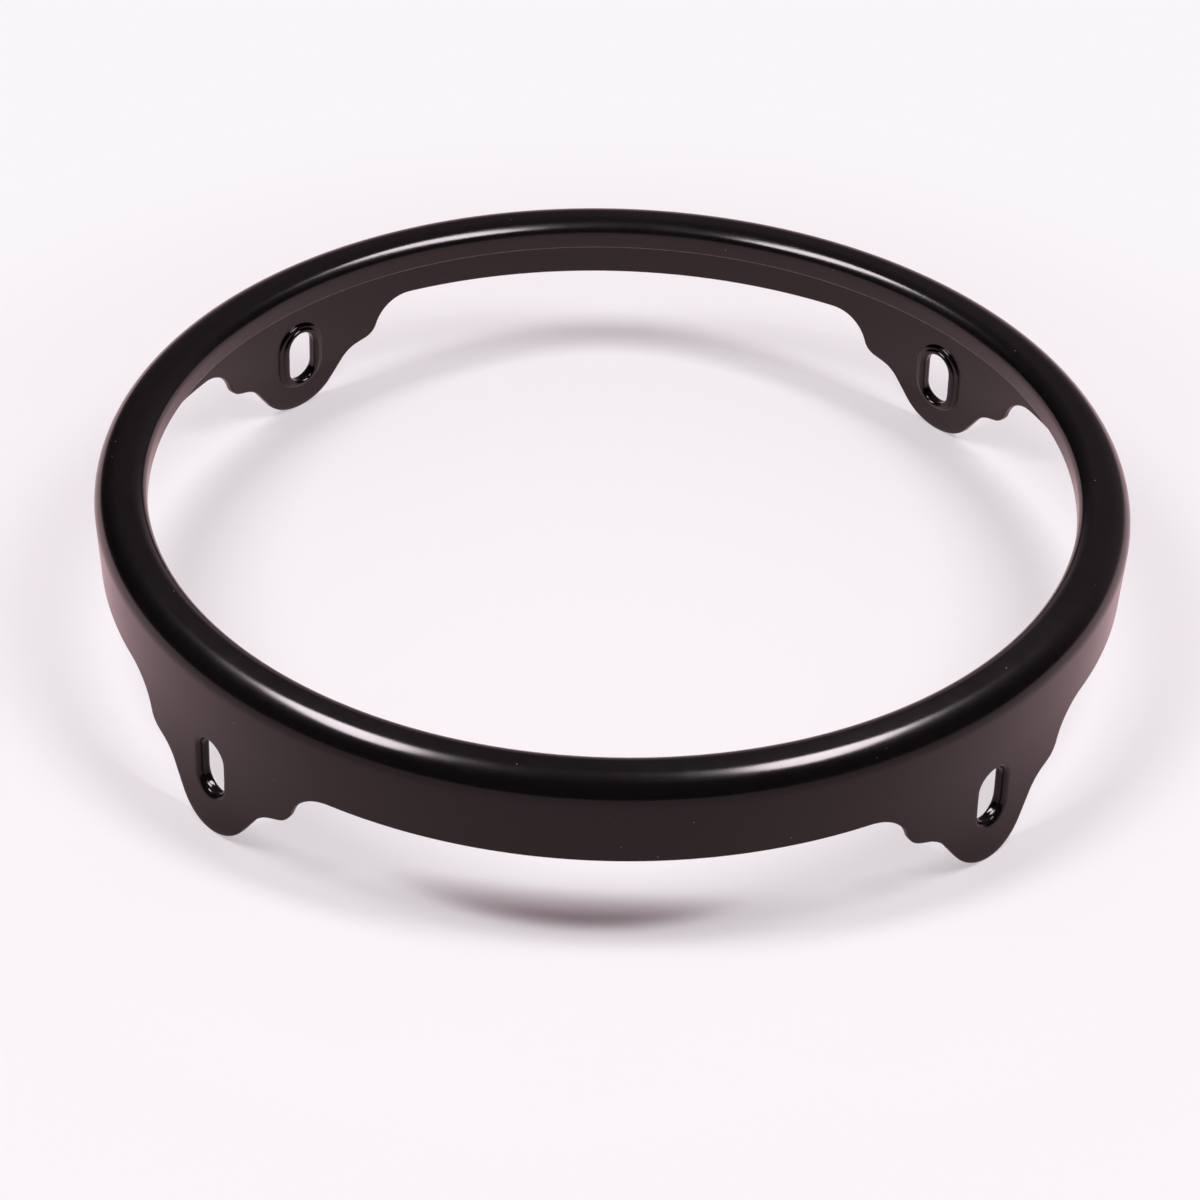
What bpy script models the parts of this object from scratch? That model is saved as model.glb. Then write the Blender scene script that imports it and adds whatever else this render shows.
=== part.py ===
# Counter hoop of a four-lug hand drum: a pressed steel rim with a rolled top,
# a tapered skirt and four slotted ears, an inner ring under the roll and a
# low rounded collar round each slot.
# Metres, +Z up. The origin is on the hoop's axis, level with the ear tips,
# and the ears point along +X, +Y, -X and -Y.

import bmesh
import bpy
from math import acos, atan2, cos, pi, radians, sin, tan
from mathutils import Vector

# Rolled edge
OPENING_DIAMETER = 0.2213  # clear opening inside the rolled edge
SHEET = 0.0020  # thickness of the steel sheet
INNER_ROLL_RADIUS = 0.00375  # roll that turns down into the opening
CROWN_FLAT = 0.0030  # level land between the two rolls
OUTER_ROLL_RADIUS = 0.0056  # roll that turns down into the skirt

# Skirt and inner ring
SKIRT_HEIGHT = 0.0207  # from the crown down to the skirt's edge between ears
SKIRT_TAPER = radians(1.95)  # the skirt closes in towards its edge
RING_DROP = 0.0077  # from the crown down to the inner ring's lower edge
RING_THICKNESS = 0.0020
RING_CHAMFER = 0.0004  # broken corners of the inner ring's lower edge

# Ears: half widths from the ear's middle, drops from the skirt's edge
EAR_COUNT = 4
EAR_DROP = 0.0254  # skirt's edge down to the ear's tip
EAR_TIP_RADIUS = 0.0132
EAR_WAIST_HALF_WIDTH = 0.0162
EAR_WAIST_DROP = 0.0126
EAR_WAIST_FILLET = 0.0099
EAR_SHOULDER_HALF_WIDTH = 0.0243
EAR_SHOULDER_DROP = 0.0101
EAR_SHOULDER_RADIUS = 0.0053
EAR_ROOT_HALF_WIDTH = 0.0278
EAR_ROOT_FILLET = 0.0110
EAR_SWEEP_RADIUS = 0.189  # the ears curve outwards on this radius
EAR_SWEEP_RISE = 0.0046  # and start to do so this far above the skirt's edge

# Slots for the tuning hooks, rounded into from outside, each with a collar on the inner face
SLOT_WIDTH = 0.0084
SLOT_HEIGHT = 0.0147
SLOT_DROP = 0.0085  # skirt's edge down to the slot's middle
SLOT_MOUTH_RADIUS = 0.0015  # rounding from the outer face into the slot
COLLAR_SIDE_WIDTH = 0.0032
COLLAR_END_WIDTH = 0.0023
COLLAR_HEIGHT = 0.0009
COLLAR_EDGE_RADIUS = 0.0007

SEAT_GAP = 0.0003  # between pieces that touch

# Facets
HOOP_STEPS = 96
OUTER_ROLL_STEPS = 6
INNER_ROLL_STEPS = 4
EAR_SWEEP_STEPS = 4
FILLET_STEPS = 5
TIP_STEPS = 7
SLOT_END_STEPS = 10
SLOT_MOUTH_STEPS = 3
COLLAR_EDGE_STEPS = 3
EDGE_COLUMNS = 10  # trim columns along the skirt's edge between two ears
SMOOTH_ANGLE = radians(50)  # edges sharper than this are shaded crisp
MERGE_DISTANCE = 0.000001

# Cutters
CUT_MARGIN = 0.004  # a slot's cutter and the sheet to be trimmed reach this far past the ear
TRIM_MARGIN = 0.012  # the ear trim reaches this far past the sheet
MOUTH_START = 0.0003  # a slot's cutter starts this far outside the ear
MOUTH_EASE = radians(20)  # and meets the ear's face at this angle

# An arc takes at most this share of the side that it rounds
MOST_ROUNDING = 0.98

# Worked-out sizes
opening_radius = OPENING_DIAMETER / 2
rim_radius = opening_radius + INNER_ROLL_RADIUS + CROWN_FLAT + OUTER_ROLL_RADIUS
edge_height = EAR_DROP
crown_height = edge_height + SKIRT_HEIGHT
outer_roll_middle = rim_radius - OUTER_ROLL_RADIUS
skirt_top_radius = outer_roll_middle + OUTER_ROLL_RADIUS * cos(SKIRT_TAPER)
skirt_top_height = crown_height - OUTER_ROLL_RADIUS * (1 + sin(SKIRT_TAPER))
edge_radius = skirt_top_radius - (skirt_top_height - edge_height) * tan(SKIRT_TAPER)
ear_pitch = 2 * pi / EAR_COUNT


def swept(height):
    """How far below the start of the outward sweep a height is."""
    return max(edge_height + EAR_SWEEP_RISE - height, 0)


def wall_radius(height):
    """Radius of the skirt's and ears' outer face at a height."""
    straight = edge_radius - (edge_height - height) * tan(SKIRT_TAPER)
    return straight + swept(height) ** 2 / (2 * EAR_SWEEP_RADIUS)


def wall_lean(height):
    """Lean of the outer face from upright: above zero where it closes in downwards."""
    return SKIRT_TAPER - swept(height) / EAR_SWEEP_RADIUS


def wall_point(along, height, depth):
    """A point on the ear at +X: along the skirt, up, and in from the outer face."""
    radius = wall_radius(height) - depth
    angle = along / edge_radius
    return Vector((radius * cos(angle), radius * sin(angle), height))


def rounded_corners(corners, radii, steps):
    """An open polyline with an arc at each inner corner, as large as its sides let it be."""
    points = [Vector(corner) for corner in corners]
    sides = [(b - a).length for a, b in zip(points, points[1:])]
    half_angles = [0.0] * len(points)
    cuts = [0.0] * len(points)
    for i in range(1, len(points) - 1):
        opening = (points[i - 1] - points[i]).angle(points[i + 1] - points[i])
        half_angles[i] = opening / 2
        cuts[i] = radii[i - 1] / tan(opening / 2)
    fits = [1.0] * len(points)
    for i, side in enumerate(sides):
        wanted = cuts[i] + cuts[i + 1]
        if wanted > side:
            fits[i] = min(fits[i], MOST_ROUNDING * side / wanted)
            fits[i + 1] = min(fits[i + 1], MOST_ROUNDING * side / wanted)
    line = [points[0]]
    for i in range(1, len(points) - 1):
        back = (points[i - 1] - points[i]).normalized()
        ahead = (points[i + 1] - points[i]).normalized()
        cut = cuts[i] * fits[i]
        radius = cut * tan(half_angles[i])
        middle = points[i] + (back + ahead).normalized() * radius / sin(half_angles[i])
        start = points[i] + back * cut - middle
        end = points[i] + ahead * cut - middle
        for step in range(steps + 1):
            spoke = start.slerp(end, step / steps).normalized()
            line.append(middle + radius * spoke)
    line.append(points[-1])
    return line


def ear_outline():
    """Half of the sheet's lower edge, as (along, height), from an ear's tip to mid-span."""
    tip_middle = Vector((0, edge_height - EAR_DROP + EAR_TIP_RADIUS))
    waist = Vector((EAR_WAIST_HALF_WIDTH, edge_height - EAR_WAIST_DROP))
    reach = waist - tip_middle
    tip_radius = min(EAR_TIP_RADIUS, MOST_ROUNDING * reach.length)
    tip_middle.y += tip_radius - EAR_TIP_RADIUS
    reach = waist - tip_middle
    flank_angle = atan2(reach.y, reach.x) - acos(tip_radius / reach.length)
    tip_arc = []
    for step in range(TIP_STEPS + 1):
        angle = -pi / 2 + (flank_angle + pi / 2) * step / TIP_STEPS
        tip_arc.append(tip_middle + tip_radius * Vector((cos(angle), sin(angle))))
    mid_span = edge_radius * ear_pitch / 2
    corners = [
        tip_arc[-1],
        waist,
        (EAR_SHOULDER_HALF_WIDTH, edge_height - EAR_SHOULDER_DROP),
        (EAR_ROOT_HALF_WIDTH, edge_height),
        (mid_span, edge_height),
    ]
    radii = [EAR_WAIST_FILLET, EAR_SHOULDER_RADIUS, EAR_ROOT_FILLET]
    flank = rounded_corners(corners, radii, FILLET_STEPS)
    edge_start = flank[-2]
    edge = [edge_start.lerp(flank[-1], step / EDGE_COLUMNS) for step in range(1, EDGE_COLUMNS + 1)]
    return tip_arc + flank[1:-1] + edge


def obround(width, height, steps):
    """Points round an upright slot, each with its outward direction."""
    radius = width / 2
    straight = (height - width) / 2
    points = []
    for end in (1, -1):
        for step in range(steps + 1):
            angle = (0 if end > 0 else pi) + pi * step / steps
            outward = Vector((cos(angle), sin(angle)))
            points.append((outward * radius + Vector((0, end * straight)), outward))
    return points


def make_material(name, color, roughness, metallic):
    material = bpy.data.materials.new(name)
    material.use_nodes = True
    shader = material.node_tree.nodes["Principled BSDF"]
    shader.inputs["Base Color"].default_value = (*color, 1)
    shader.inputs["Roughness"].default_value = roughness
    shader.inputs["Metallic"].default_value = metallic
    material.diffuse_color = (*color, 1)
    return material


def add_object(name, mesh, collection):
    piece = bpy.data.objects.new(name, mesh)
    collection.objects.link(piece)
    return piece


def add_cutter(name, mesh):
    cutter = add_object(name, mesh, cutters)
    cutter.hide_render = True
    cutter.display_type = "WIRE"
    return cutter


def turned(name, profile, steps, collection):
    """A closed profile of (radius, height) points, outer side downwards, turned round Z."""
    mesh = bpy.data.meshes.new(name)
    points = [(radius, 0, height) for radius, height in profile]
    edges = [(i, (i + 1) % len(points)) for i in range(len(points))]
    mesh.from_pydata(points, edges, [])
    piece = add_object(name, mesh, collection)
    screw = piece.modifiers.new("Turn", "SCREW")
    screw.steps = steps
    screw.render_steps = steps
    screw.use_merge_vertices = True
    screw.merge_threshold = MERGE_DISTANCE
    screw.use_smooth_shade = True
    return piece


def wrapped_mesh(name, columns, rows, place, capped=False):
    """A flat grid rolled up by its columns, and then closed by its rows or by a cap at each end."""
    bm = bmesh.new()
    row_steps = rows - 1 if capped else rows
    bmesh.ops.create_grid(bm, x_segments=columns, y_segments=row_steps, size=1)
    for vert in bm.verts:
        column = round((vert.co.x + 1) / 2 * columns) % columns
        row = round((vert.co.y + 1) / 2 * row_steps) % rows
        vert.co = place(column, row)
    bmesh.ops.remove_doubles(bm, verts=bm.verts, dist=MERGE_DISTANCE)
    if capped:
        caps = bmesh.ops.holes_fill(bm, edges=bm.edges)["faces"]
        bmesh.ops.triangulate(bm, faces=caps)
    bmesh.ops.recalc_face_normals(bm, faces=bm.faces)
    mesh = bpy.data.meshes.new(name)
    bm.to_mesh(mesh)
    bm.free()
    return mesh


def cut(piece, cutter):
    boolean = piece.modifiers.new(cutter.name, "BOOLEAN")
    boolean.operation = "DIFFERENCE"
    boolean.object = cutter


def shell_profile():
    """The sheet in section: its outer face from lip to foot, then its inner face back up."""
    outer_face = []
    for step in range(INNER_ROLL_STEPS + 1):
        angle = pi - pi / 2 * step / INNER_ROLL_STEPS
        middle = (opening_radius + INNER_ROLL_RADIUS, crown_height - INNER_ROLL_RADIUS)
        outer_face.append((middle, INNER_ROLL_RADIUS, angle))
    for step in range(OUTER_ROLL_STEPS + 1):
        angle = pi / 2 - (pi / 2 + SKIRT_TAPER) * step / OUTER_ROLL_STEPS
        middle = (outer_roll_middle, crown_height - OUTER_ROLL_RADIUS)
        outer_face.append((middle, OUTER_ROLL_RADIUS, angle))
    sweep_height = EAR_SWEEP_RISE + EAR_DROP + CUT_MARGIN
    for step in range(EAR_SWEEP_STEPS + 1):
        height = edge_height + EAR_SWEEP_RISE - sweep_height * step / EAR_SWEEP_STEPS
        outer_face.append(((wall_radius(height), height), 0, -wall_lean(height)))

    def offset(inset):
        return [
            (x + (radius - inset) * cos(angle), z + (radius - inset) * sin(angle))
            for (x, z), radius, angle in outer_face
        ]

    return offset(0) + offset(SHEET)[::-1]


def ring_profile():
    """The inner ring in section: a flat strip under the roll, lower corners broken."""
    inner = opening_radius
    outer = opening_radius + RING_THICKNESS
    top = crown_height - INNER_ROLL_RADIUS - SEAT_GAP
    bottom = crown_height - RING_DROP
    return [
        (inner, top),
        (outer, top),
        (outer, bottom + RING_CHAMFER),
        (outer - RING_CHAMFER, bottom),
        (inner + RING_CHAMFER, bottom),
        (inner, bottom + RING_CHAMFER),
    ]


def collar_section():
    """Section of a collar: its share of the way out from the slot, and in from the sheet."""
    most = MOST_ROUNDING * min(COLLAR_SIDE_WIDTH / 2, COLLAR_HEIGHT)
    radius = min(COLLAR_EDGE_RADIUS, most)
    edge_share = radius / COLLAR_SIDE_WIDTH
    points = [(0, 0), (1, 0)]
    for corner, start in ((1 - edge_share, 0), (edge_share, pi / 2)):
        for step in range(COLLAR_EDGE_STEPS + 1):
            angle = start + pi / 2 * step / COLLAR_EDGE_STEPS
            points.append((corner + edge_share * cos(angle), COLLAR_HEIGHT - radius + radius * sin(angle)))
    return points


def trim_mesh():
    """The waste below the sheet's lower edge: a ring whose top follows the ears."""
    half = ear_outline()
    steps = [(point.x, point.y) for point in half[:-1]]
    steps += [(edge_radius * ear_pitch - point.x, point.y) for point in half[:0:-1]]
    lowest = edge_height - EAR_DROP - TRIM_MARGIN
    inner = min(edge_radius, wall_radius(0)) - SHEET - TRIM_MARGIN
    outer = max(edge_radius, wall_radius(0)) + TRIM_MARGIN

    def place(column, row):
        along, height = steps[column % len(steps)]
        angle = along / edge_radius + ear_pitch * (column // len(steps))
        radius = (inner, outer, outer, inner)[row]
        return Vector((radius * cos(angle), radius * sin(angle), (lowest, lowest, height, height)[row]))

    return wrapped_mesh("ear_trim", len(steps) * EAR_COUNT, 4, place)


def mouth_section():
    """The slot's wall in section, from outside the ear inwards: out from the slot, in from the face."""
    arc = []
    for step in range(SLOT_MOUTH_STEPS + 1):
        angle = MOUTH_EASE + (pi / 2 - MOUTH_EASE) * step / SLOT_MOUTH_STEPS
        arc.append((SLOT_MOUTH_RADIUS * (1 - sin(angle)), SLOT_MOUTH_RADIUS * (1 - cos(angle))))
    away, depth = arc[0]
    start = (away + (depth + MOUTH_START) / tan(MOUTH_EASE), -MOUTH_START)
    end = (0, max(SHEET, SLOT_MOUTH_RADIUS) + CUT_MARGIN)
    return [start] + arc + [end]


def slot_mesh(middle_height):
    """The waste of one slot: its outline pushed through the ear, wider at its rounded mouth."""
    outline = obround(SLOT_WIDTH, SLOT_HEIGHT, SLOT_END_STEPS)
    section = mouth_section()

    def place(column, row):
        point, outward = outline[column]
        away, depth = section[row]
        flat = point + outward * away
        return wall_point(flat.x, middle_height + flat.y, depth)

    return wrapped_mesh("slot_punch", len(outline), len(section), place, capped=True)


def collar_mesh(middle_height):
    """One collar, bent to the inner face of the ear."""
    slot = obround(SLOT_WIDTH, SLOT_HEIGHT, SLOT_END_STEPS)
    rim = obround(SLOT_WIDTH + 2 * COLLAR_SIDE_WIDTH, SLOT_HEIGHT + 2 * COLLAR_END_WIDTH, SLOT_END_STEPS)
    section = collar_section()

    def place(column, row):
        share, inwards = section[row]
        flat = slot[column][0].lerp(rim[column][0], share)
        return wall_point(flat.x, middle_height + flat.y, SHEET + SEAT_GAP + inwards)

    mesh = wrapped_mesh("slot_collar", len(slot), len(section), place)
    mesh.shade_smooth()
    mesh.set_sharp_from_angle(angle=SMOOTH_ANGLE)
    return mesh


for leftover in list(bpy.data.objects):
    bpy.data.objects.remove(leftover)

parts = bpy.data.collections.new("hand_drum_rim")
cutters = bpy.data.collections.new("cutters")
bpy.context.scene.collection.children.link(parts)
bpy.context.scene.collection.children.link(cutters)

hoop_axis = add_object("hoop_axis", None, parts)
slot_height = edge_height - SLOT_DROP

shell = turned("rim_shell", shell_profile(), HOOP_STEPS, parts)
shell.data.materials.append(make_material("shell_powder_coat", (0.016, 0.014, 0.014), 0.34, 0.0))
shell.parent = hoop_axis
shell.rotation_euler.z = pi / HOOP_STEPS  # no facet edge falls on an ear's middle
cut(shell, add_cutter("ear_trim", trim_mesh()))

ring = turned("inner_ring", ring_profile(), HOOP_STEPS, parts)
ring.data.materials.append(make_material("ring_powder_coat", (0.018, 0.016, 0.016), 0.36, 0.0))
ring.parent = hoop_axis

punch = slot_mesh(slot_height)
collar = collar_mesh(slot_height)
collar.materials.append(make_material("collar_gloss_coat", (0.010, 0.009, 0.010), 0.18, 0.0))
for number in range(EAR_COUNT):
    slot_punch = add_cutter(f"slot_punch_{number + 1}", punch)
    slot_punch.rotation_euler.z = number * ear_pitch
    cut(shell, slot_punch)
    slot_collar = add_object(f"slot_collar_{number + 1}", collar, parts)
    slot_collar.rotation_euler.z = number * ear_pitch
    slot_collar.parent = hoop_axis
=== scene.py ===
from math import acos, atan2, ceil, cos, pi, radians, sin, tan

import bmesh
import bpy
import numpy as np
from mathutils import Matrix, Vector


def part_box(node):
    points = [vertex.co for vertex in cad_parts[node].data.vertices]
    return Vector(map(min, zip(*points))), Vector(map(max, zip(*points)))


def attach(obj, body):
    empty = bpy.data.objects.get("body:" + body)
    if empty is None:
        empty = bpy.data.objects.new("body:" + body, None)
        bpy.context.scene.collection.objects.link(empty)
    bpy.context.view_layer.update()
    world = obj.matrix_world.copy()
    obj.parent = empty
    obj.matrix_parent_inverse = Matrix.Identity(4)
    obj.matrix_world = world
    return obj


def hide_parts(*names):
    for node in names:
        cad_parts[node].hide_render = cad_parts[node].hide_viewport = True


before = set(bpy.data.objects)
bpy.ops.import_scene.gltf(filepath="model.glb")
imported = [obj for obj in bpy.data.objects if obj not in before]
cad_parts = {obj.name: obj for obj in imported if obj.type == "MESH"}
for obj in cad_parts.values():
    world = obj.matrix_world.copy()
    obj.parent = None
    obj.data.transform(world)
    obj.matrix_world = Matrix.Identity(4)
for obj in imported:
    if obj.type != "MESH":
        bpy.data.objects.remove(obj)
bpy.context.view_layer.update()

print("rim: frame loaded,", len(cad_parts), "nodes")

mm = 0.001
earCount = 4
earPitch = 2 * pi / earCount
crispAngle = radians(40)        # edges that turn more than this are shaded crisp

# the pressed sheet, in metres: along from an ear's middle, drop from the skirt's edge
rimShell = {
    "openingRadius": 110.65 * mm,
    "sheet": 2.0 * mm,
    "innerRoll": 3.75 * mm,
    "crownFlat": 3.0 * mm,
    "outerRoll": 5.6 * mm,
    "skirtHeight": 20.7 * mm,
    "taper": radians(1.95),
    "cutRadius": 0.45 * mm,     # sheared edge, softened by the coat
    "cutSteps": 4,
    "earSweep": 189 * mm,       # the ears curve outwards
    "sweepRise": 4.6 * mm,      # and start to this far above the skirt's edge
    "earDrop": 25.4 * mm,
    "tipRadius": 13.2 * mm,
    "waist": (16.2 * mm, 12.6 * mm, 9.9 * mm),      # along, drop, corner radius
    "shoulder": (24.3 * mm, 10.1 * mm, 5.3 * mm),
    "root": (27.8 * mm, 0.0, 11.0 * mm),
    "slotWidth": 8.4 * mm,
    "slotHeight": 14.7 * mm,
    "slotDrop": 8.5 * mm,
    "slotEntry": 1.3 * mm,      # the punch rounds the slot's outer edge
    "entrySteps": 7,
    "slotExit": 0.05 * mm,
    "exitSteps": 2,
    "fineStep": 0.6 * mm,       # mesh step round the ears
    "coarseStep": 2.4 * mm,     # and between them
    "stepGrowth": 1.12,
    "rollSteps": 24,
    "wallStart": 1.2 * mm,      # first row of the wall under the roll
    "wallRows": 26,
    "fitFrom": 4.4 * mm,        # rows follow the ears' outline from this far above the skirt's edge
    "outlineStep": 0.1 * mm,    # step of the line that the columns are spread along
    "tangentReach": 0.2 * mm,   # how far each way that line's direction is taken
    "cornerRoom": 0.999,        # share of a straight that its two corners may use up
    "slotPatch": 9.2 * mm,      # half width of the patch that is meshed round a slot
    "slotPatchRows": (2, 21),   # and its first and last row
    "slotRings": 6,
}

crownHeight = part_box("rim_shell")[1].z
edgeHeight = crownHeight - rimShell["skirtHeight"]
rollMiddle = rimShell["openingRadius"] + rimShell["innerRoll"] + rimShell["crownFlat"]
skirtTop = crownHeight - rimShell["outerRoll"] * (1 + sin(rimShell["taper"]))
edgeRadius = (
    rollMiddle
    + rimShell["outerRoll"] * cos(rimShell["taper"])
    - (skirtTop - edgeHeight) * tan(rimShell["taper"])
)
slotMiddle = edgeHeight - rimShell["slotDrop"]


def swept(height):
    return np.maximum(edgeHeight + rimShell["sweepRise"] - height, 0)


def wallRadius(height):
    straight = edgeRadius - (edgeHeight - height) * tan(rimShell["taper"])
    return straight + swept(height) ** 2 / (2 * rimShell["earSweep"])


def wallLean(height):
    return rimShell["taper"] - swept(height) / rimShell["earSweep"]


# along the skirt, up, and in from the outer face, on the ear at a turn about the axis
def wallPoints(along, height, depth, turn):
    radius = wallRadius(height) - depth / np.cos(wallLean(height))
    angle = along / edgeRadius + turn
    return np.stack([radius * np.cos(angle), radius * np.sin(angle), height + 0 * angle], -1)


def roundCorners(corners, radii, step):
    corners = [np.array(corner, float) for corner in corners]
    sides = [np.linalg.norm(b - a) for a, b in zip(corners, corners[1:])]
    turns = []
    for before, corner, after in zip(corners, corners[1:], corners[2:]):
        back, ahead = before - corner, after - corner
        half = acos(back @ ahead / np.linalg.norm(back) / np.linalg.norm(ahead)) / 2
        turns.append((back / np.linalg.norm(back), ahead / np.linalg.norm(ahead), half))
    cuts = [0] + [radius / tan(half) for radius, (back, ahead, half) in zip(radii, turns)] + [0]
    shrink = [1.0] * len(corners)
    for i, side in enumerate(sides):
        room, needed = rimShell["cornerRoom"] * side, cuts[i] + cuts[i + 1]
        if needed > room:
            shrink[i] = min(shrink[i], room / needed)
            shrink[i + 1] = min(shrink[i + 1], room / needed)
    line = [corners[0]]
    for i, (back, ahead, half) in enumerate(turns, 1):
        cut = cuts[i] * shrink[i]
        radius = cut * tan(half)
        toMiddle = (back + ahead) / np.linalg.norm(back + ahead)
        middle = corners[i] + toMiddle * radius / sin(half)
        start, end = corners[i] + back * cut - middle, corners[i] + ahead * cut - middle
        sweep = (atan2(end[1], end[0]) - atan2(start[1], start[0]) + pi) % (2 * pi) - pi
        count = max(2, ceil(abs(sweep) * radius / step))
        first = atan2(start[1], start[0])
        for k in range(count + 1):
            angle = first + sweep * k / count
            line.append(middle + radius * np.array([cos(angle), sin(angle)]))
    line.append(corners[-1])
    return line


# half of the sheet's lower edge, from an ear's tip to mid-span
def earEdge(step):
    tip = np.array([0, edgeHeight - rimShell["earDrop"] + rimShell["tipRadius"]])
    named = [rimShell["waist"], rimShell["shoulder"], rimShell["root"]]
    corners = [np.array([along, edgeHeight - drop]) for along, drop, radius in named]
    reach = corners[0] - tip
    last = atan2(reach[1], reach[0]) - acos(rimShell["tipRadius"] / np.linalg.norm(reach))
    count = ceil((last + pi / 2) * rimShell["tipRadius"] / step)
    angles = [-pi / 2 + (last + pi / 2) * k / count for k in range(count + 1)]
    arc = [tip + rimShell["tipRadius"] * np.array([cos(a), sin(a)]) for a in angles]
    midSpan = np.array([edgeRadius * earPitch / 2, edgeHeight])
    flank = roundCorners([arc[-1], *corners, midSpan], [radius for along, drop, radius in named], step)
    return np.array(arc + flank[1:])


# columns at even steps along that edge, wider apart past the ear, each with its outward direction
def edgeColumns():
    line = earEdge(rimShell["outlineStep"])
    run = np.concatenate([[0], np.cumsum(np.linalg.norm(np.diff(line, axis=0), axis=1))])
    earRun = run[-1] - (line[-1, 0] - rimShell["root"][0])
    stops, step = [0.0], rimShell["fineStep"]
    while stops[-1] + step < run[-1] - 0.5 * step:
        if stops[-1] > earRun:
            step = min(step * rimShell["stepGrowth"], rimShell["coarseStep"])
        stops.append(stops[-1] + step)
    stops = np.array(stops + [run[-1]])

    def at(distance):
        return np.stack([np.interp(distance, run, line[:, i]) for i in (0, 1)], -1)

    reach = rimShell["tangentReach"]
    tangent = at(np.minimum(stops + reach, run[-1])) - at(np.maximum(stops - reach, 0))
    tangent[0], tangent[-1] = (1, 0), (1, 0)
    tangent /= np.linalg.norm(tangent, axis=1)[:, None]
    return at(stops), np.stack([tangent[:, 1], -tangent[:, 0]], -1)


# quarter round from an edge's face into its depth: how far from the edge, how deep
def quarterRound(radius, steps):
    angles = [pi / 2 * k / steps for k in range(steps + 1)]
    return [(radius * (1 - sin(a)), radius * (1 - cos(a))) for a in angles]


# where a ray from the slot's middle meets an upright round-ended outline, and the way out from there
def roundEnded(angle, width, height):
    radius = width / 2
    straight = (height - width) / 2
    direction = np.array([cos(angle), sin(angle)])
    end = np.array([0, straight if direction[1] > 0 else -straight])
    along = direction @ end
    onArc = direction * (along + np.sqrt(along**2 - end @ end + radius**2))
    if abs(onArc[1]) >= straight:
        return onArc, (onArc - end) / radius
    side = np.sign(direction[0])
    return direction * radius / abs(direction[0]), np.array([side, 0.0])


def slotOutline(angles):
    spots = [roundEnded(angle, rimShell["slotWidth"], rimShell["slotHeight"]) for angle in angles]
    outline, normal = (np.array(part) for part in zip(*spots))
    return outline + (0, slotMiddle), normal


# faces of a closed tube of rings, numbered ring by ring, without the skipped ones
def tubeFaces(ringCount, columns, skipped=()):
    faces = []
    for ring in range(ringCount):
        for column in range(columns):
            if (ring, column) not in skipped:
                ringNext, columnNext = (ring + 1) % ringCount, (column + 1) % columns
                faces.append((
                    ring * columns + column,
                    ringNext * columns + column,
                    ringNext * columns + columnNext,
                    ring * columns + columnNext,
                ))
    return faces


# the worn points lie on edges, where the coat is thin; their lighter tone is also a painted highlight
# along the sheared edges
def meshObject(name, points, faces, wornAndGlinting=()):
    bm = bmesh.new()
    verts = [bm.verts.new(point) for point in points]
    for face in faces:
        bm.faces.new([verts[i] for i in face])
    bmesh.ops.recalc_face_normals(bm, faces=bm.faces)
    mesh = bpy.data.meshes.new(name)
    bm.to_mesh(mesh)
    bm.free()
    mesh.shade_smooth()
    mesh.set_sharp_from_angle(angle=crispAngle)
    thin = mesh.attributes.new("thinCoatAndGlint", "FLOAT", "POINT")
    for point in wornAndGlinting:
        thin.data[point].value = 1.0
    piece = bpy.data.objects.new(name, mesh)
    bpy.context.scene.collection.objects.link(piece)
    return piece


# section of the roll and upper skirt, from the lip over the crown, at a depth in from the outer face
def rollSection(depth):
    s = rimShell
    section = []
    for k in range(s["rollSteps"] + 1):
        angle = pi - pi / 2 * k / s["rollSteps"]
        radius = s["innerRoll"] - depth
        section.append((
            s["openingRadius"] + s["innerRoll"] + radius * cos(angle),
            crownHeight - s["innerRoll"] + radius * sin(angle),
        ))
    for k in range(s["rollSteps"] + 1):
        angle = pi / 2 - (pi / 2 + s["taper"]) * k / s["rollSteps"]
        radius = s["outerRoll"] - depth
        section.append((
            rollMiddle + radius * cos(angle),
            crownHeight - s["outerRoll"] + radius * sin(angle),
        ))
    radius, height = section[-1]
    section.append((
        radius - s["wallStart"] * sin(s["taper"]),
        height - s["wallStart"] * cos(s["taper"]),
    ))
    return section


# columns round the hoop: the edge's points and outward directions, each ear's turn, columns per ear
def hoopColumns():
    edge, outward = edgeColumns()
    mirror = np.array([-1, 1])
    edge = np.concatenate([edge[:0:-1] * mirror, edge[:-1]])
    outward = np.concatenate([outward[:0:-1] * mirror, outward[:-1]])
    perEar = len(edge)
    turns = np.repeat(np.arange(earCount) * earPitch, perEar)
    return np.tile(edge, (earCount, 1)), np.tile(outward, (earCount, 1)), turns, perEar


# rows and columns round the border of a slot's patch
def patchBorder(first, last):
    top, bottom = rimShell["slotPatchRows"]
    border = [(top, column) for column in range(first, last)]
    border += [(row, last) for row in range(top, bottom)]
    border += [(bottom, column) for column in range(last, first, -1)]
    return border + [(row, first) for row in range(bottom, top, -1)]


# from a patch's border to the slot, through it and out again on the inner face: places and depths
def slotSpots(border):
    s = rimShell
    outline, normal = slotOutline([atan2(height - slotMiddle, along) for along, height in border])
    entry = quarterRound(s["slotEntry"], s["entrySteps"])
    leave = quarterRound(s["slotExit"], s["exitSteps"])[::-1]
    through = entry + [(away, s["sheet"] - depth) for away, depth in leave]
    entryRim, exitRim = outline + normal * s["slotEntry"], outline + normal * s["slotExit"]
    steps = range(1, s["slotRings"])
    spots = [(border + (entryRim - border) * k / s["slotRings"], 0.0) for k in steps]
    spots += [(outline + normal * away, depth) for away, depth in through]
    return spots + [(border + (exitRim - border) * k / s["slotRings"], s["sheet"]) for k in steps[::-1]]


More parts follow.
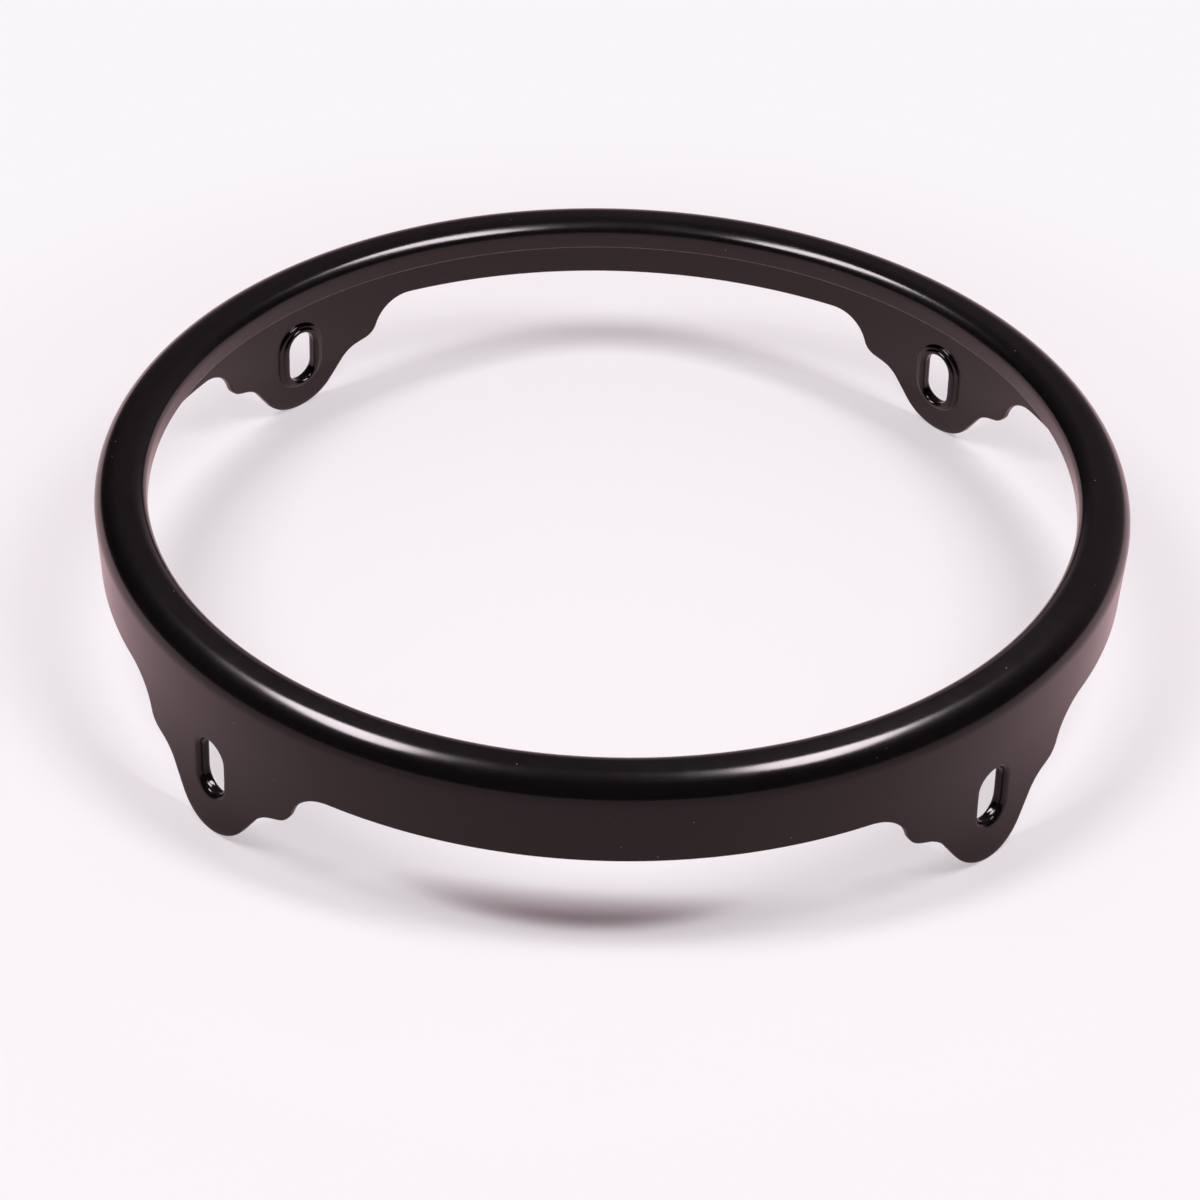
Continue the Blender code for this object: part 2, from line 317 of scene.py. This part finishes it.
def buildShell():
    s = rimShell
    edge, outward, turns, perEar = hoopColumns()
    columns = len(edge)
    foot = edge - outward * s["cutRadius"]
    top = np.stack([edge[:, 0], np.full(columns, edgeHeight + s["fitFrom"])], -1)
    shares = np.linspace(0, 1, s["wallRows"] + 1)

    def spun(section):
        angle = edge[:, 0] / edgeRadius + turns
        return [np.stack([r * np.cos(angle), r * np.sin(angle), 0 * angle + z], -1) for r, z in section]

    def fitted(share, depth):
        spot = top + (foot - top) * share
        return wallPoints(spot[:, 0], spot[:, 1], depth, turns)

    # rings of points over the roll, down the outer face, round the edge and up the inner face
    cut = quarterRound(s["cutRadius"], s["cutSteps"])
    rings = spun(rollSection(0))
    outerStart = len(rings)
    rings += [fitted(share, 0) for share in shares]
    for away, depth in cut[1:] + [(away, s["sheet"] - depth) for away, depth in cut[::-1][:-1]]:
        spot = edge - outward * away
        rings.append(wallPoints(spot[:, 0], spot[:, 1], depth, turns))
    innerStart = len(rings)
    rings += [fitted(share, s["sheet"]) for share in shares[::-1]]
    rings += spun(rollSection(s["sheet"])[::-1])
    points = list(np.concatenate(rings))
    wornAndGlinting = range((outerStart + len(shares)) * columns, innerStart * columns)

    # patches left open for the slots
    middle = perEar // 2
    half = int(np.argmax(edge[middle:perEar, 0] > s["slotPatch"]))
    patches = [(ear * perEar + middle - half, ear * perEar + middle + half) for ear in range(earCount)]
    innerRow = innerStart + s["wallRows"]
    skipped = set()
    for first, last in patches:
        for column in range(first, last):
            for row in range(*s["slotPatchRows"]):
                skipped.add((outerStart + row, column))
                skipped.add((innerRow - row - 1, column))
    faces = tubeFaces(len(rings), columns, skipped)

    # and filled with loops of faces that lead through the slot
    for ear, (first, last) in enumerate(patches):
        border = patchBorder(first, last)
        rows, across = np.array(border).T
        flat = top[across] + (foot[across] - top[across]) * shares[rows][:, None]
        loops = [[(outerStart + row) * columns + column for row, column in border]]
        for spot, depth in slotSpots(flat):
            loops.append(list(range(len(points), len(points) + len(border))))
            points.extend(wallPoints(spot[:, 0], spot[:, 1], depth, ear * earPitch))
        loops.append([(innerRow - row) * columns + column for row, column in border])
        for before, after in zip(loops, loops[1:]):
            for k in range(len(border)):
                n = (k + 1) % len(border)
                faces.append((before[k], before[n], after[n], after[k]))
    return meshObject("rimShell", points, faces, wornAndGlinting)


shell = buildShell()
print("rim: shell made,", len(shell.data.polygons), "faces")

# the strip under the roll, sizes in metres
innerRing = {
    "thickness": 2.0 * mm,
    "seam": 0.02 * mm,          # hairline to the roll above
    "footRadius": 0.7 * mm,     # rounded lower edge that catches the light
    "footSteps": 5,
    "turnSteps": 360,
}


def buildRing():
    s = innerRing
    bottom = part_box("inner_ring")[0].z
    inner, outer = rimShell["openingRadius"], rimShell["openingRadius"] + s["thickness"]
    top = crownHeight - rimShell["innerRoll"] - s["seam"]
    foot = quarterRound(s["footRadius"], s["footSteps"])
    section = [(inner, top), (outer, top)]
    section += [(outer - depth, bottom + away) for away, depth in foot]
    section += [(inner + depth, bottom + away) for away, depth in foot[::-1]]
    turns = np.arange(s["turnSteps"]) * 2 * pi / s["turnSteps"]
    points = [(r * cos(a), r * sin(a), z) for a in turns for r, z in section]
    count = len(section)
    innerFoot = range(count - s["footSteps"], count - 1)
    wornAndGlinting = [turn * count + k for turn in range(s["turnSteps"]) for k in innerFoot]
    return meshObject("innerRing", points, tubeFaces(s["turnSteps"], count), wornAndGlinting)


ring = buildRing()
print("rim: inner ring made,", len(ring.data.polygons), "faces")

# the raised collar round each slot on the inner face, sizes in metres
slotCollar = {
    "sideWidth": 3.2 * mm,
    "endWidth": 2.3 * mm,
    "crest": (0.34, 1.55 * mm),  # share of the width out from the slot, height
    "throatRadius": 1.1 * mm,
    "ledge": (0.66, 0.85 * mm),  # a small step down the outer side,
    "ledgeSlope": radians(28),   # which falls away at once
    "footFillet": 0.3 * mm,      # coat pooled where the collar meets the ear
    "arcSteps": 8,
    "sunk": 0.06 * mm,
    "aroundSteps": 144,
}


# section of the collar: share of its width, further out by, and in from the ear's inner face
def collarSection():
    s = slotCollar
    arc = [pi / 2 * k / s["arcSteps"] for k in range(s["arcSteps"] + 1)]
    (crest, top), (step, low), foot = s["crest"], s["ledge"], s["footFillet"]
    section = [(0, 0, -s["sunk"])]
    section += [(crest * (1 - cos(a)), 0, top - s["throatRadius"] * (1 - sin(a))) for a in arc]
    section += [(crest + (step - crest) * sin(a), 0, low + (top - low) * cos(a)) for a in arc[1:]]
    first = s["ledgeSlope"]
    wide, high = (1 - step) / (1 - sin(first)), (low - foot) / cos(first)
    for k in range(1, s["arcSteps"] + 1):
        a = first + (pi / 2 - first) * k / s["arcSteps"]
        section.append((1 - wide * (1 - sin(a)), 0, foot + high * cos(a)))
    section += [(1, foot * (1 - cos(a)), foot * (1 - sin(a))) for a in arc[1:]]
    return section + [(1, foot, -s["sunk"])]


def buildCollar(number):
    s = slotCollar
    rimWidth = rimShell["slotWidth"] + 2 * s["sideWidth"]
    rimHeight = rimShell["slotHeight"] + 2 * s["endWidth"]
    angles = [2 * pi * k / s["aroundSteps"] for k in range(s["aroundSteps"])]
    outline, normal = slotOutline(angles)
    rim = np.array([roundEnded(angle, rimWidth, rimHeight)[0] for angle in angles]) + (0, slotMiddle)
    section = collarSection()
    points = []
    for share, further, inwards in section:
        spot = outline + (rim - outline) * share + normal * further
        points.extend(wallPoints(spot[:, 0], spot[:, 1], rimShell["sheet"] + inwards, number * earPitch))
    return meshObject(f"slotCollar{number + 1}", points, tubeFaces(len(section), s["aroundSteps"]))


collars = [buildCollar(number) for number in range(earCount)]
print("rim:", len(collars), "slot collars made")


# a socket that takes part in sums, and the one way to add any other node beside it
class Wire:
    def __init__(self, tree, socket=None):
        self.tree = tree
        self.socket = socket

    def make(self, kind, settings=None, sockets=None, output=0):
        node = self.tree.nodes.new(kind)
        for key, value in (settings or {}).items():
            setattr(node, key, value)
        for key, value in (sockets or {}).items():
            if isinstance(value, Wire):
                self.tree.links.new(value.socket, node.inputs[key])
            else:
                node.inputs[key].default_value = value
        return Wire(self.tree, node.outputs[output] if node.outputs else None)

    def math(self, operation, first, second):
        return self.make("ShaderNodeMath", {"operation": operation}, {0: first, 1: second})

    def length(self, across, along):
        return self.math("POWER", across * across + along * along, 0.5)

    def dot(self, first, second):
        settings = {"operation": "DOT_PRODUCT"}
        return self.make("ShaderNodeVectorMath", settings, {0: first, 1: second}, "Value")

    def scaled(self, color, share):
        return self.make("ShaderNodeVectorMath", {"operation": "SCALE"}, {0: color, "Scale": share})

    def rise(self, value, low, high, lowest=0.0, highest=1.0, kind="SMOOTHSTEP"):
        return self.make("ShaderNodeMapRange", {"interpolation_type": kind}, {
            "Value": value,
            "From Min": low,
            "From Max": high,
            "To Min": lowest,
            "To Max": highest,
        })

    def blend(self, share, first, second):
        first, second = (c if isinstance(c, Wire) else (*c, 1) for c in (first, second))
        return self.make("ShaderNodeMix", {"data_type": "RGBA"}, {0: share, 6: first, 7: second}, 2)

    def __add__(self, other):
        return self.math("ADD", self, other)

    __radd__ = __add__

    def __sub__(self, other):
        return self.math("SUBTRACT", self, other)

    def __rsub__(self, other):
        return self.math("SUBTRACT", other, self)

    def __mul__(self, other):
        return self.math("MULTIPLY", self, other)

    __rmul__ = __mul__

    def __truediv__(self, other):
        return self.math("DIVIDE", self, other)

    def __rtruediv__(self, other):
        return self.math("DIVIDE", other, self)


noiseMiddle = 0.5       # a noise texture swings about this


# satin black powder coat on steel, lengths in metres
def powderCoat(name, finish):
    material = bpy.data.materials.new(name)
    material.use_nodes = True
    tree = material.node_tree
    tree.nodes.clear()
    w = Wire(tree)
    place = w.make("ShaderNodeTexCoord", output="Object")

    def noise(vector, size, detail):
        sockets = {"Vector": vector, "Scale": 1 / size, "Detail": detail}
        return w.make("ShaderNodeTexNoise", None, sockets, "Fac")

    cloud = noise(place, finish["cloudSize"], finish["cloudDetail"])
    mottle = noise(place, finish["mottleSize"], finish["mottleDetail"])
    peel = noise(place, finish["peelSize"], finish["peelDetail"])
    grain = noise(place, finish["grainSize"], finish["grainDetail"])

    # hairlines round the hoop, in patches
    x, y, height = (w.make("ShaderNodeSeparateXYZ", None, {0: place}, axis) for axis in "XYZ")
    radius = w.length(x, y)
    turned = w.math("ARCTAN2", y, x) * radius
    thin = finish["scuffWidth"] / finish["scuffLength"]
    unrolled = w.make("ShaderNodeCombineXYZ", None, {0: turned * thin, 1: radius, 2: height})
    lines = noise(unrolled, finish["scuffWidth"], finish["scuffDetail"])
    patches = noise(place, finish["scuffPatch"], finish["scuffDetail"])
    scuff = w.rise(lines, *finish["scuffLevel"]) * w.rise(patches, *finish["scuffPatchLevel"])

    # specks of dust under the coat, each near a random point
    spacing = {"Vector": place, "Scale": 1 / finish["speckSpacing"]}
    fromSpeck = w.make("ShaderNodeTexVoronoi", None, spacing)
    speckEdge = finish["speckSize"] / finish["speckSpacing"]
    speck = 1 - w.rise(fromSpeck, speckEdge / 2, speckEdge)

    # lighter patches on the sheared edges: worn, thin coat and a painted edge highlight
    edge = w.make("ShaderNodeAttribute", {"attribute_name": "thinCoatAndGlint"}, None, "Fac")
    edgeWearAndGlint = edge * w.rise(noise(place, finish["edgeWearAndGlintSize"], finish["edgeWearAndGlintDetail"]), *finish["edgeWearAndGlintLevel"])

    color = w.blend((cloud + mottle) / 2, finish["colorLow"], finish["colorHigh"])
    color = w.blend(scuff * finish["scuffShare"], color, finish["scuffColor"])
    color = w.blend(edgeWearAndGlint, color, finish["edgeWearAndGlintColor"])
    color = w.blend(speck, color, finish["speckColor"])
    roughness = finish["roughness"] + (cloud - noiseMiddle) * finish["cloudRoughness"]
    roughness = roughness + (mottle - noiseMiddle) * finish["mottleRoughness"]
    roughness = roughness + (grain - noiseMiddle) * finish["grainRoughness"]
    roughness = roughness + scuff * finish["scuffRoughness"] + (edgeWearAndGlint + speck) * finish["wearRoughness"]
    bump = w.make("ShaderNodeBump", None, {
        "Strength": finish["bumpStrength"],
        "Distance": finish["peelDepth"],
        "Height": peel + grain * finish["grainHeight"] + speck * finish["speckHeight"],
    })
    surface = w.make("ShaderNodeBsdfPrincipled", None, {
        "Base Color": color,
        "Roughness": roughness,
        "IOR": finish["ior"],
        "Normal": bump,
    })
    w.make("ShaderNodeOutputMaterial", None, {"Surface": surface})
    return material


satinCoat = {
    "colorLow": (0.0036, 0.0029, 0.0031),
    "colorHigh": (0.0062, 0.0050, 0.0053),
    "roughness": 0.19,
    "ior": 1.40,
    "cloudSize": 26 * mm,
    "cloudDetail": 3.0,
    "cloudRoughness": 0.06,
    "mottleSize": 4 * mm,
    "mottleDetail": 2.0,
    "mottleRoughness": 0.06,
    "peelSize": 1.2 * mm,       # orange peel
    "peelDetail": 1.5,
    "peelDepth": 0.02 * mm,
    "bumpStrength": 0.09,
    "grainSize": 0.2 * mm,
    "grainDetail": 2.0,
    "grainRoughness": 0.06,
    "grainHeight": 0.15,
    "scuffLength": 9 * mm,
    "scuffWidth": 0.3 * mm,
    "scuffDetail": 1.0,
    "scuffLevel": (0.66, 0.76),
    "scuffPatch": 22 * mm,
    "scuffPatchLevel": (0.54, 0.68),
    "scuffShare": 0.35,
    "scuffColor": (0.016, 0.014, 0.014),
    "scuffRoughness": 0.06,
    "speckSpacing": 5.5 * mm,
    "speckSize": 0.24 * mm,
    "speckColor": (0.12, 0.10, 0.095),
    "speckHeight": 1.5,
    # worn sheared edges, lighter in patches, partly a painted edge highlight
    "edgeWearAndGlintSize": 3 * mm,
    "edgeWearAndGlintDetail": 2.0,
    "edgeWearAndGlintLevel": (0.35, 0.75),
    "edgeWearAndGlintColor": (0.030, 0.026, 0.025),
    "wearRoughness": 0.12,
}
glossCoat = {
    **satinCoat,
    "colorLow": (0.0026, 0.0021, 0.0023),
    "colorHigh": (0.0046, 0.0037, 0.0040),
    "roughness": 0.13,
}

shell.data.materials.append(powderCoat("satinBlackCoat", satinCoat))
ring.data.materials.append(powderCoat("ringBlackCoat", satinCoat))
collarFinish = powderCoat("collarBlackCoat", glossCoat)
for collar in collars:
    collar.data.materials.append(collarFinish)
print("rim: finishes made")

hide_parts("rim_shell")
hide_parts("inner_ring")
for number, collar in enumerate(collars, 1):
    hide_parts(f"slot_collar_{number}")
for piece in (shell, ring, *collars):
    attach(piece, "root")

# the photograph's camera: distance from the axis at the skirt's edge, angles in degrees, lens in mm
photoCamera = {
    "distance": 732.2 * mm,
    "elevation": 35.260,
    "azimuth": 45.379,
    "yaw": 0.220,
    "pitch": -36.688,
    "roll": -1.678,
    "lens": 90.52,
    "sensor": 36.0,
}


def placeCamera():
    s = photoCamera
    camera = bpy.data.objects.new("photoCamera", bpy.data.cameras.new("photoCamera"))
    bpy.context.scene.collection.objects.link(camera)
    camera.data.lens = s["lens"]
    camera.data.sensor_width = s["sensor"]
    elevation = radians(s["elevation"])
    swing = Matrix.Rotation(radians(s["azimuth"]), 4, "Z")
    spot = Vector((0, -s["distance"] * cos(elevation), s["distance"] * sin(elevation)))
    turn = Matrix.Rotation(radians(s["yaw"]), 4, "Z")
    turn = turn @ Matrix.Rotation(radians(s["pitch"]), 4, "X")
    turn = turn @ Matrix.Rotation(radians(s["roll"]), 4, "Y")
    upright = Matrix.Rotation(pi / 2, 4, "X")
    base = Matrix.Translation((0, 0, edgeHeight))
    camera.matrix_world = base @ swing @ Matrix.Translation(spot) @ turn @ upright
    bpy.context.scene.camera = camera


placeCamera()

# pale floor, two soft boxes, two small panels for the glints and a dim room
# places are right of the camera, away from it and up from the floor, in metres
studio = {
    "floorSize": 8.0,
    "floorColor": (0.94, 0.915, 0.94),
    "floorSheen": (0.98, 0.70, 0.74),       # as the coat mirrors it
    "paintedLightFront": (-0.17, 0.65),            # painted light: the mirrored floor is painted dimmer in front of the rim than inside it: place, share
    "paintedLightBack": (0.06, 1.15),
    "paintedContactShadow": 0.22,                   # and painted dimmer still right under its front, a painted shadow
    "paintedShadowOut": (0.118, 0.145),
    "paintedShadowFront": (-0.06, -0.02),
    "glowFrom": 0.14,                       # past this far out the floor fades to the backdrop
    "glowTo": 0.27,
    # painted light: nearer in, the floor glows to lift its shadows, and the glow is held low along the
    # shadow core under the rim's front
    "paintedShadowLift": 0.45,                       # and lifts its shadows nearer in,
    "paintedCorePlace": (-0.008, -0.110),          # but less where both boxes are hidden,
    "paintedCoreReach": (0.0445, 0.0080),          # along a strip that bends with the rim
    "paintedCoreBend": 4.5,
    "paintedCoreLift": 0.04,
    "boxPlaces": ((-0.385, -0.19, 0.85), (0.385, -0.19, 0.85)),
    "boxSize": (0.16, 0.56),
    "boxPower": 4.15,
    "boxColor": (1.0, 1.0, 1.005),
    "panelPlaces": ((-0.131, -0.002, 0.275), (0.107, -0.003, 0.275)),
    "panelTilt": radians(25),               # to face the far side more
    "panelSize": (0.250, 0.084),
    "panelPower": 1.58,
    "panelColor": (1.0, 0.90, 0.95),
    "fill": (0.25, 0.175, 0.20),            # the room's light on the floor
    "roomColor": (1.0, 0.76, 0.82),         # the room as the coat mirrors it
    "roomBack": 0.11,                       # beyond the rim,
    "roomRight": 0.17,                      # more of it to the right
    "backReach": (0.1, 0.7),                # from and to, as shares of the way straight back
    "roomTop": 0.06,                        # and overhead
    "topReach": (0.6, 0.9),                 # as shares of the way straight up
    "topFront": (-0.35, 0.0),
    "roomHorizon": 0.50,                    # the pale backdrop low behind the rim
    "horizonReach": (0.88, 0.99),
    "backdrop": (0.955, 0.925, 0.955),
}


def placeLamp(name, spot, size, power, color):
    lamp = bpy.data.objects.new(name, bpy.data.lights.new(name, "AREA"))
    bpy.context.scene.collection.objects.link(lamp)
    lamp.data.shape = "ELLIPSE"
    lamp.data.size, lamp.data.size_y = size
    lamp.data.energy = power
    lamp.data.color = color
    lamp.location = Matrix.Rotation(radians(photoCamera["azimuth"]), 4, "Z") @ Vector(spot)
    lamp.rotation_euler = (-lamp.location).to_track_quat("-Z", "Y").to_euler()
    lamp.visible_camera = False
    return lamp


# directions across the photograph and into it, on the floor
def viewAxes():
    angle = radians(photoCamera["azimuth"])
    return (cos(angle), sin(angle), 0), (-sin(angle), cos(angle), 0)


# rays straight from the camera or through something clear
def plainView(w):
    kinds = ("Camera", "Transmission")
    return sum(w.make("ShaderNodeLightPath", output=f"Is {kind} Ray") for kind in kinds)


def placeFloor():
    s = studio
    bpy.ops.mesh.primitive_plane_add(size=s["floorSize"])
    floor = bpy.context.object
    floor.name = "paleFloor"
    paper = bpy.data.materials.new("palePaper")
    paper.use_nodes = True
    tree = paper.node_tree
    tree.nodes.clear()
    w = Wire(tree)
    mirrored = w.make("ShaderNodeLightPath", output="Is Glossy Ray")
    seen = plainView(w)
    place = w.make("ShaderNodeNewGeometry", output="Position")
    right, away = (w.dot(place, axis) for axis in viewAxes())
    out = w.length(right, away)
    # the floor as the coat mirrors it is painted light: brighter inside the rim than in front of it
    (frontPlace, frontShare), (backPlace, backShare) = s["paintedLightFront"], s["paintedLightBack"]
    paintedReflectionLevel = w.rise(away, frontPlace, backPlace, frontShare, backShare, "LINEAR")
    # painted shadow in the mirrored floor, close under the rim's front
    paintedShadowMask = (1 - w.rise(out, *s["paintedShadowOut"])) * (1 - w.rise(away, *s["paintedShadowFront"]))
    paintedReflectionLevel = paintedReflectionLevel * (1 - s["paintedContactShadow"] * paintedShadowMask)
    sheen = w.scaled(s["floorSheen"], paintedReflectionLevel)
    sheet = w.make("ShaderNodeBsdfDiffuse", None, {"Color": w.blend(mirrored, s["floorColor"], sheen)})
    shine = w.blend(mirrored, s["backdrop"], sheen)
    glow = w.make("ShaderNodeEmission", None, {"Color": shine, "Strength": 1.0})
    # painted light on the floor: a glow that lifts the shadows near the rim, kept low along the shadow
    # core so that core stays dark
    acrossCore = (right - s["paintedCorePlace"][0]) / s["paintedCoreReach"][0]
    intoCore = (away - s["paintedCorePlace"][1] - right * right * s["paintedCoreBend"]) / s["paintedCoreReach"][1]
    paintedLift = w.rise(acrossCore * acrossCore + intoCore * intoCore, 0.0, 1.0, s["paintedCoreLift"], s["paintedShadowLift"])
    fade = w.rise(out, s["glowFrom"], s["glowTo"], paintedLift)
    floorLook = w.make("ShaderNodeMixShader", None, {0: fade * (seen + mirrored), 1: sheet, 2: glow})
    w.make("ShaderNodeOutputMaterial", None, {"Surface": floorLook})
    floor.data.materials.append(paper)


def placeRoom():
    s = studio
    world = bpy.data.worlds.new("dimRoom")
    bpy.context.scene.world = world
    world.use_nodes = True
    tree = world.node_tree
    tree.nodes.clear()
    w = Wire(tree)
    direction = w.make("ShaderNodeTexCoord", output="Generated")
    right, away = (w.dot(direction, axis) for axis in viewAxes())
    up = w.make("ShaderNodeSeparateXYZ", None, {0: direction}, "Z")
    back = (s["roomBack"] + right * s["roomRight"]) * w.rise(away, *s["backReach"])
    top = s["roomTop"] * w.rise(up, *s["topReach"]) * w.rise(away, *s["topFront"])
    low = s["roomHorizon"] * w.rise(away, *s["horizonReach"])
    room = w.scaled(s["roomColor"], back + top + low)
    mirrored = w.make("ShaderNodeLightPath", output="Is Glossy Ray")
    seen = plainView(w)
    shown = w.blend(seen, w.blend(mirrored, s["fill"], room), s["backdrop"])
    light = w.make("ShaderNodeBackground", None, {"Color": shown, "Strength": 1.0})
    w.make("ShaderNodeOutputWorld", None, {"Surface": light})


def placeStudio():
    s = studio
    for number, spot in enumerate(s["boxPlaces"], 1):
        box = placeLamp(f"softBox{number}", spot, s["boxSize"], s["boxPower"], s["boxColor"])
        box.visible_glossy = False
    for number, spot in enumerate(s["panelPlaces"], 1):
        panel = placeLamp(f"glintPanel{number}", spot, s["panelSize"], s["panelPower"], s["panelColor"])
        tilt = Matrix.Rotation(s["panelTilt"], 3, viewAxes()[0])
        panel.rotation_euler = (tilt @ panel.rotation_euler.to_matrix()).to_euler()
        panel.visible_diffuse = False
    placeFloor()
    placeRoom()
    bpy.context.scene.view_settings.view_transform = "Standard"


placeStudio()
print("rim: camera and studio placed")
